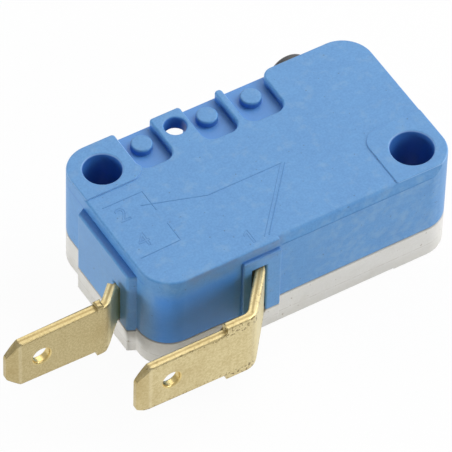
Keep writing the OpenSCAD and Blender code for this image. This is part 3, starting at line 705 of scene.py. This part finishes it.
# %% Brass
TARNISH_AND_SHADE_BROWN = (0.46, 0.34, 0.14)
RIM_HIGHLIGHT_YELLOW = (0.95, 0.85, 0.58)
HOLE_HIGHLIGHT_GOLD = (0.84, 0.66, 0.28)
BEND_HIGHLIGHT_YELLOW = (1.0, 0.90, 0.56)
CUT_EDGE_SHADE_BROWN = (0.36, 0.28, 0.13)
TEAR_AND_UNDERSIDE_SHADE_BROWN = (0.30, 0.20, 0.07)
STAIN_BROWN = (0.12, 0.07, 0.02)
BRASS_DEPTH = 0.016


def stamped_brass(name, light, dark, tab, bend, turn, dirty, bend_highlight_share):
    """The brass of a tab whose strip turns by an angle at a place along the body."""
    material, surface, place = new_material(name)
    tip = mount_place(tab)
    streaks, grain, tarnish = brass_patterns(place)
    outside = outside_hole(place, tab)
    on_edge, under, torn_and_shaded = cut_edges(place, outside, Vector((bend, tip.y)), turn)
    shaded_lead_in, rim_highlight, bent_highlit = lead_in_and_bend_light(place, tip.x, bend)
    # tarnish, plus painted shade on the lead-in, and painted highlights where the press stopped and
    # on the bend
    body = coats(blend(streaks * 0.3 + spread(grain) * 0.7, light, dark), [
        (tarnish * 0.25 + shaded_lead_in * 0.25, TARNISH_AND_SHADE_BROWN),
        (rim_highlight * 0.2, RIM_HIGHLIGHT_YELLOW),
        # painted highlight: the wall of the tab's hole is painted a brighter gold
        ((1 - outside) * 0.8, HOLE_HIGHLIGHT_GOLD),
        (bent_highlit * bend_highlight_share, BEND_HIGHLIGHT_YELLOW),
        # painted shade: cut edges darker, the tear line and the edges that look down darker still
        (on_edge * 0.55, CUT_EDGE_SHADE_BROWN),
        (torn_and_shaded * 0.4 + under * 0.5, TEAR_AND_UNDERSIDE_SHADE_BROWN),
        (edge_stains(place) * dirty * (0.8 - on_edge * 0.5), STAIN_BROWN),
    ])
    feed(surface, "Base Color", body)
    surface.inputs["Metallic"].default_value = 1.0
    feed(surface, "Roughness", grain * 0.18 + tarnish * 0.08 + torn_and_shaded * 0.2 + bent_highlit * 0.15 + 0.25)
    relief(surface, grain + streaks * 0.6, 0.5, BRASS_DEPTH)
    return material


common_brass = stamped_brass(
    "common_brass",
    light=(0.78, 0.67, 0.385),
    dark=(0.61, 0.50, 0.25),
    tab="common_tab",
    bend=3.31,
    turn=math.radians(51),
    dirty=0.9,
    bend_highlight_share=0.5,
)
open_brass = stamped_brass(
    "open_brass",
    light=(0.66, 0.555, 0.305),
    dark=(0.47, 0.38, 0.18),
    tab="open_tab",
    bend=-5.63,
    turn=math.radians(45),
    dirty=0.4,
    bend_highlight_share=0.8,
)
print("two brass finishes")

# %% [markdown]
# ## Finishes inside the switch
#
# The plunger is a dark, slightly rough thermoset, the lever natural nylon. The arm is rolled
# bronze, the contacts are silver alloy and the spring is drawn steel wire. They hardly show, but
# they are seen when the switch is opened, so each gets the grain that its making leaves.

# %% Plunger, lever, arm, contacts and spring
FINE_GRAIN_PER_MM = 8
FINE_DEPTH = 0.008
ARM_ROLLED = (0.2, 1, 1)
EVEN = (1, 1, 1)


def plain_finish(name, colours, roughness, metallic, per_mm, stretch=EVEN):
    material, surface, place = new_material(name)
    clouds = noise(times(place, stretch), per_mm, 3)
    grain = noise(place, FINE_GRAIN_PER_MM, 2)
    feed(surface, "Base Color", blend(spread(clouds), *colours))
    surface.inputs["Metallic"].default_value = metallic
    feed(surface, "Roughness", grain * 0.14 + roughness)
    relief(surface, grain + clouds, 0.3, FINE_DEPTH)
    return material


black = ((0.040, 0.040, 0.044), (0.060, 0.059, 0.058))
nylon = ((0.76, 0.74, 0.66), (0.82, 0.80, 0.73))
bronze = ((0.60, 0.38, 0.20), (0.52, 0.31, 0.15))
silver = ((0.80, 0.80, 0.78), (0.70, 0.70, 0.69))
steel = ((0.52, 0.52, 0.54), (0.44, 0.44, 0.46))
contact_silver = plain_finish("contact_silver", silver, roughness=0.22, metallic=1, per_mm=3)
inner_finishes = {
    "plunger": plain_finish("plunger_plastic", black, roughness=0.42, metallic=0, per_mm=1.2),
    "operating_lever": plain_finish("lever_nylon", nylon, roughness=0.40, metallic=0, per_mm=0.8),
    "contact_arm": plain_finish(
        "arm_bronze", bronze, roughness=0.25, metallic=1, per_mm=2, stretch=ARM_ROLLED,
    ),
    "moving_contact": contact_silver,
    "snap_spring": plain_finish("spring_steel", steel, roughness=0.22, metallic=1, per_mm=4),
    "fixed_contact": contact_silver,
}
print(len(inner_finishes), "inner pieces have a finish")

# %% [markdown]
# ## Copies to work on
#
# The CAD solids themselves are never changed, so each piece that shows is copied. A CAD mesh is
# loose triangles: they are merged, and the triangles of one flat face are dissolved into a whole
# one, because a bevel needs whole edges. The work is done a thousand times larger, since Blender's
# tools are made for sizes near 1.

# %% Copy a CAD node
MERGE = 0.002
FLAT = math.radians(0.5)


def select_only(piece):
    bpy.ops.object.select_all(action="DESELECT")
    piece.select_set(True)
    bpy.context.view_layer.objects.active = piece


def edit_all():
    bpy.ops.object.mode_set(mode="EDIT")
    bpy.ops.mesh.select_all(action="SELECT")


def leave_edit():
    bpy.ops.object.mode_set(mode="OBJECT")


def resize_mesh(factor):
    edit_all()
    bpy.ops.transform.resize(value=(factor, factor, factor), center_override=(0, 0, 0))
    leave_edit()


def whole_faced_copy(node, name):
    """A copy of a CAD node, in millimetres, with whole faces."""
    piece = bpy.data.objects.new(name, nodes[node].data.copy())
    bpy.context.scene.collection.objects.link(piece)
    select_only(piece)
    resize_mesh(1 / MM)
    edit_all()
    bpy.ops.mesh.remove_doubles(threshold=MERGE)
    bpy.ops.mesh.dissolve_limited(angle_limit=FLAT)
    leave_edit()
    return piece


print("ready to copy CAD nodes, with points merged within", MERGE, "mm")

# %% [markdown]
# ## Two shapes seen late
#
# A close look at the photograph shows two shapes a little otherwise than the CAD has them: the
# sloping band along the front edge is narrower, and the slot under the lever's lug is wider, so
# that the white ground fills the lower part of the pin hole. Both are mended on the copies, by
# selecting the vertices of one edge or wall by their place and moving them. The slot's wall is
# moved with both its faces, or it would become too thin to round.

# %% Narrower band and wider slot
PAD_HEIGHT = 0.12
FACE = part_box("case")[1].z / MM - PAD_HEIGHT
BAND_EDGE = (-12.88, -12.40)
BAND_ENDS = (8.3, 22.3)
BAND_SQUEEZE = 0.2
SLOT_WALL = (8.5, 9.2)
SLOT_DEPTH = -0.5
SLOT_Z = (1.4, 8.7)
SLOT_MORE = 0.45


def select_vertices(piece, wanted):
    """Selects the vertices whose x, y and z suit a test, and leaves the piece in edit mode."""
    edit_all()
    bpy.ops.mesh.select_all(action="DESELECT")
    for vert in bmesh.from_edit_mesh(piece.data).verts:
        vert.select_set(wanted(*vert.co))


def on_band_edge(x, y, z):
    along_band = BAND_ENDS[0] < x < BAND_ENDS[1]
    return along_band and BAND_EDGE[0] < y < BAND_EDGE[1] and z > FACE - 0.01


def on_slot_wall(x, y, z):
    in_wall = SLOT_WALL[0] < x < SLOT_WALL[1]
    return in_wall and y > SLOT_DEPTH and SLOT_Z[0] < z < SLOT_Z[1]


def narrow_band(piece):
    select_vertices(piece, on_band_edge)
    bpy.ops.transform.resize(value=(1, BAND_SQUEEZE, 1), center_override=(0, BAND_EDGE[0], 0))
    leave_edit()


def widen_lug_slot(piece):
    select_vertices(piece, on_slot_wall)
    bpy.ops.transform.translate(value=(SLOT_MORE, 0, 0))
    leave_edit()


print(f"flat face of the case at {FACE:.2f} mm")

# %% [markdown]
# ## Rounded edges
#
# No moulded or stamped edge is knife-sharp: a mould leaves a radius of a tenth of a millimetre or
# two, and a die pulls the edges of the strip round. The CAD solids have sharp edges, and those
# catch no light. Shader tricks could fake a bevel, but real ones also show in the outline. So a
# Bevel modifier rounds the outer edges: only those are given a weight, since inner corners are
# crisp on the real mouldings. An edge beside a narrow face, such as the step of a pad, gets less
# weight, or its radius would run past that face. Clamping is off, because it would shrink every
# radius to suit the shortest edge of the whole piece. The brass keeps its upright edges sharp,
# since some of them lie across the narrow facets of a bend.

# %% Weigh the outer edges
SHARP = math.radians(40)
CREASE = math.radians(7)
FACET = 0.2
ROOM_SHARE = 0.45


def room_beside(edge):
    """How far the narrower of an edge's two faces reaches away from it."""
    start = edge.verts[0].co
    way = (edge.verts[1].co - start).normalized()
    reach = [max((v.co - start).cross(way).length for v in face.verts) for face in edge.link_faces]
    return min(reach)


def is_level(edge):
    return abs(edge.verts[0].co.z - edge.verts[1].co.z) < FACET


def weigh_outer_edges(mesh, edge_mm, upright):
    """Weighs the edges that stick out for the Bevel modifier, and keeps slight creases sharp."""
    shape = bmesh.new()
    shape.from_mesh(mesh)
    weight = shape.edges.layers.float.new("bevel_weight_edge")
    rounded = 0
    for edge in shape.edges:
        if not edge.is_manifold:
            continue
        turn = edge.calc_face_angle_signed()
        if turn > SHARP and (upright or is_level(edge)):
            edge[weight] = min(1.0, ROOM_SHARE * room_beside(edge) / edge_mm)
            rounded += 1
        elif CREASE < abs(turn) < SHARP:
            edge.smooth = False
    shape.to_mesh(mesh)
    shape.free()
    return rounded


print(f"outer edges over {math.degrees(SHARP):.0f} degrees will be rounded")

# %% [markdown]
# ## Smooth light on flat faces
#
# After the bevel, doubled points and slivers without area are cleared away. Plain smooth shading
# would bend the light near the edges of large faces, so a Weighted Normal modifier lets the large
# faces decide and keeps them flat. The finished copy then takes its finish, rides on the body of
# its CAD node and stands for it.

# %% Round, smooth and dress a copy
SMOOTH = math.radians(32)
FACE_WEIGHT = 100


def round_edges(piece, edge_mm, steps):
    bevel = piece.modifiers.new("edge_radius", "BEVEL")
    bevel.width = edge_mm
    bevel.segments = steps
    bevel.limit_method = "WEIGHT"
    bevel.use_clamp_overlap = False
    bevel.loop_slide = False
    bevel.miter_outer = "MITER_ARC"
    bpy.ops.object.modifier_apply(modifier=bevel.name)
    edit_all()
    bpy.ops.mesh.remove_doubles(threshold=MERGE)
    bpy.ops.mesh.dissolve_degenerate(threshold=MERGE)
    leave_edit()


def smooth_light(piece):
    bpy.ops.object.shade_smooth_by_angle(angle=SMOOTH)
    flat = piece.modifiers.new("flat_faces", "WEIGHTED_NORMAL")
    flat.weight = FACE_WEIGHT
    flat.keep_sharp = True
    bpy.ops.object.modifier_apply(modifier=flat.name)


def paint(piece, finish):
    piece.data.materials.clear()
    piece.data.materials.append(finish)


def rounded_copy(node, name, finish, edge_mm, steps, upright=True, mends=()):
    piece = whole_faced_copy(node, name)
    for mend in mends:
        mend(piece)
    edges = weigh_outer_edges(piece.data, edge_mm, upright)
    round_edges(piece, edge_mm, steps)
    smooth_light(piece)
    resize_mesh(MM)
    paint(piece, finish)
    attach(piece, nodes[node]["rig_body"])
    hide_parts(node)
    print(f"{name}: {edges} edges rounded, {len(piece.data.polygons)} faces")


print("ready to round, smooth and dress a copy")

# %% [markdown]
# ## The pieces that show
#
# The mouldings get the radius of their moulds, and the strips the one that a die pulls. The
# plunger's pin is small, so two steps are enough for its edge. The pieces inside the switch are
# left as the CAD has them: their edges are never seen close.

# %% Round the pieces that show
rounded_copy("case", "case_moulding", case_plastic,
             edge_mm=0.18, steps=3, mends=(narrow_band, widen_lug_slot))
rounded_copy("cover", "cover_moulding", cover_plastic,
             edge_mm=0.10, steps=3, mends=(widen_lug_slot,))
rounded_copy("common_terminal", "common_tab", common_brass,
             edge_mm=0.18, steps=4, upright=False)
rounded_copy("open_terminal", "open_tab", open_brass,
             edge_mm=0.18, steps=4, upright=False)
rounded_copy("plunger", "plunger_pin", inner_finishes["plunger"],
             edge_mm=0.08, steps=2)

# %% [markdown]
# ## Finishes on the CAD nodes
#
# The CAD nodes that were copied are hidden now, and the inner ones still show themselves when the
# housing is opened. A finish goes on all of them, so that none is left in the plain grey in which
# it came.

# %% Paint the CAD nodes
node_finishes = {
    **inner_finishes,
    "case": case_plastic,
    "cover": cover_plastic,
    "common_terminal": common_brass,
    "open_terminal": open_brass,
}
for node, finish in node_finishes.items():
    paint(nodes[node], finish)
print(len(node_finishes), "CAD nodes have a finish")

# %% [markdown]
# ## The circuit symbol
#
# The case carries the usual change-over symbol in fine raised lines, with the terminal numbers.
# A line could be painted into the material, but it stands up from the surface and catches light,
# so it is modelled: a single point is extruded from corner to corner, turned into a curve, given
# a round section, and made a mesh again. Only its upper quarter stands out of the case's flat face.

# %% A raised line
LINE_RADIUS = 0.07
LINE_SINK = 0.035
MARK_SMOOTH = math.radians(60)


def finish_mark(mark, name):
    mark.name = name
    bpy.ops.object.shade_smooth_by_angle(angle=MARK_SMOOTH)
    # the darker blue of the marks is painted shade along them
    paint(mark, mark_plastic)
    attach(mark, "housing")


def raised_line(name, corners, radius):
    points = [Vector(corner) * MM for corner in corners]
    bpy.ops.object.select_all(action="DESELECT")
    bpy.ops.mesh.primitive_plane_add(size=MM)
    edit_all()
    bpy.ops.mesh.merge(type="COLLAPSE")
    bpy.ops.transform.translate(value=points[0])
    for before, after in zip(points, points[1:]):
        bpy.ops.mesh.extrude_vertices_move(TRANSFORM_OT_translate={"value": after - before})
    leave_edit()
    bpy.ops.object.convert(target="CURVE")
    line = bpy.context.object
    line.data.bevel_depth = radius * MM
    line.data.bevel_resolution = 1
    line.data.use_fill_caps = True
    bpy.ops.object.convert(target="MESH")
    finish_mark(bpy.context.object, name)


print("ready to draw raised lines")

# %% Draw the symbol
STEM_GAP = 0.2
PIVOT = (12.6, -6.4)
STEM_TOP, STEM_FOOT = (12.6, -6.5), (7.6, -12.3)
symbol = {
    "symbol_rest_contact": [(-2.05, -3.5), (1.55, -3.5), (1.55, -5.7)],
    "symbol_work_contact": [(1.6, -7.3), (1.6, -9.3), (-2.05, -9.4)],
    "symbol_blade": [(0.7, -4.7), (5.8, -6.4), PIVOT],
}
for side, gap in (("left", -STEM_GAP), ("right", STEM_GAP)):
    symbol["symbol_stem_" + side] = [(x + gap, y) for x, y in (STEM_TOP, STEM_FOOT)]
for name, corners in symbol.items():
    raised_line(name, [(x, y, FACE - LINE_SINK) for x, y in corners], LINE_RADIUS)
print(len(symbol), "lines of the symbol")

# %% [markdown]
# ## The parting line on the front wall
#
# Two halves of the mould met under the sloping band of the front edge, and the plastic crept a
# few hundredths of a millimetre between them. The same kind of line makes that ridge.

# %% Draw the parting line
BAND_FOOT = FACE - 0.85
RIDGE_ENDS = (8.5, 22.3)
RIDGE_RADIUS = 0.05
RIDGE_SINK = 0.02
ridge = [(x, FRONT_WALL + RIDGE_SINK, BAND_FOOT) for x in RIDGE_ENDS]
raised_line("parting_line", ridge, RIDGE_RADIUS)
print("parting line at", round(BAND_FOOT, 2), "mm")

# %% [markdown]
# ## The terminal numbers
#
# The numbers stand beside their terminals, drawn as outlines like the double stem of the symbol.
# For 2 and 4, Blender's own typeface is close to the plain letters that mould makers cut, so text
# objects are used. Made a curve, a letter is its outline, which gets the same round section as the
# lines, and as a mesh it is moved to its place. The 1 is shorter, with a long flag, so its
# outline is drawn as a raised line.

# %% Set the numbers
DIGIT_SIZE = 2.0
DIGIT_LINE = 0.05
DIGIT_Z = FACE - DIGIT_LINE / 2
DIGIT_MERGE = 0.00001


def raised_number(digit, middle):
    bpy.ops.object.select_all(action="DESELECT")
    bpy.ops.object.text_add()
    letter = bpy.context.object
    letter.data.body = digit
    letter.data.align_x = "CENTER"
    letter.data.align_y = "CENTER"
    letter.data.size = DIGIT_SIZE * MM
    bpy.ops.object.convert(target="CURVE")
    outline = bpy.context.object
    outline.data.dimensions = "3D"
    outline.data.fill_mode = "FULL"
    outline.data.bevel_depth = DIGIT_LINE * MM
    outline.data.bevel_resolution = 1
    bpy.ops.object.convert(target="MESH")
    edit_all()
    bpy.ops.mesh.remove_doubles(threshold=DIGIT_MERGE * MM)
    bpy.ops.mesh.normals_make_consistent(inside=False)
    leave_edit()
    number = bpy.context.object
    number.location = Vector((*middle, DIGIT_Z)) * MM
    bpy.ops.object.transform_apply(location=True, rotation=True, scale=True)
    finish_mark(number, "number_" + digit)


raised_number("2", (-1.0, -4.9))
raised_number("4", (-0.9, -7.95))
ONE = [
    (6.35, -12.4), (6.55, -12.4), (6.55, -11.05), (6.4, -11.05),
    (6.05, -11.35), (6.05, -11.55), (6.35, -11.32), (6.35, -12.4),
]
raised_line("number_1", [(x, y, DIGIT_Z) for x, y in ONE], DIGIT_LINE)
print("three numbers")
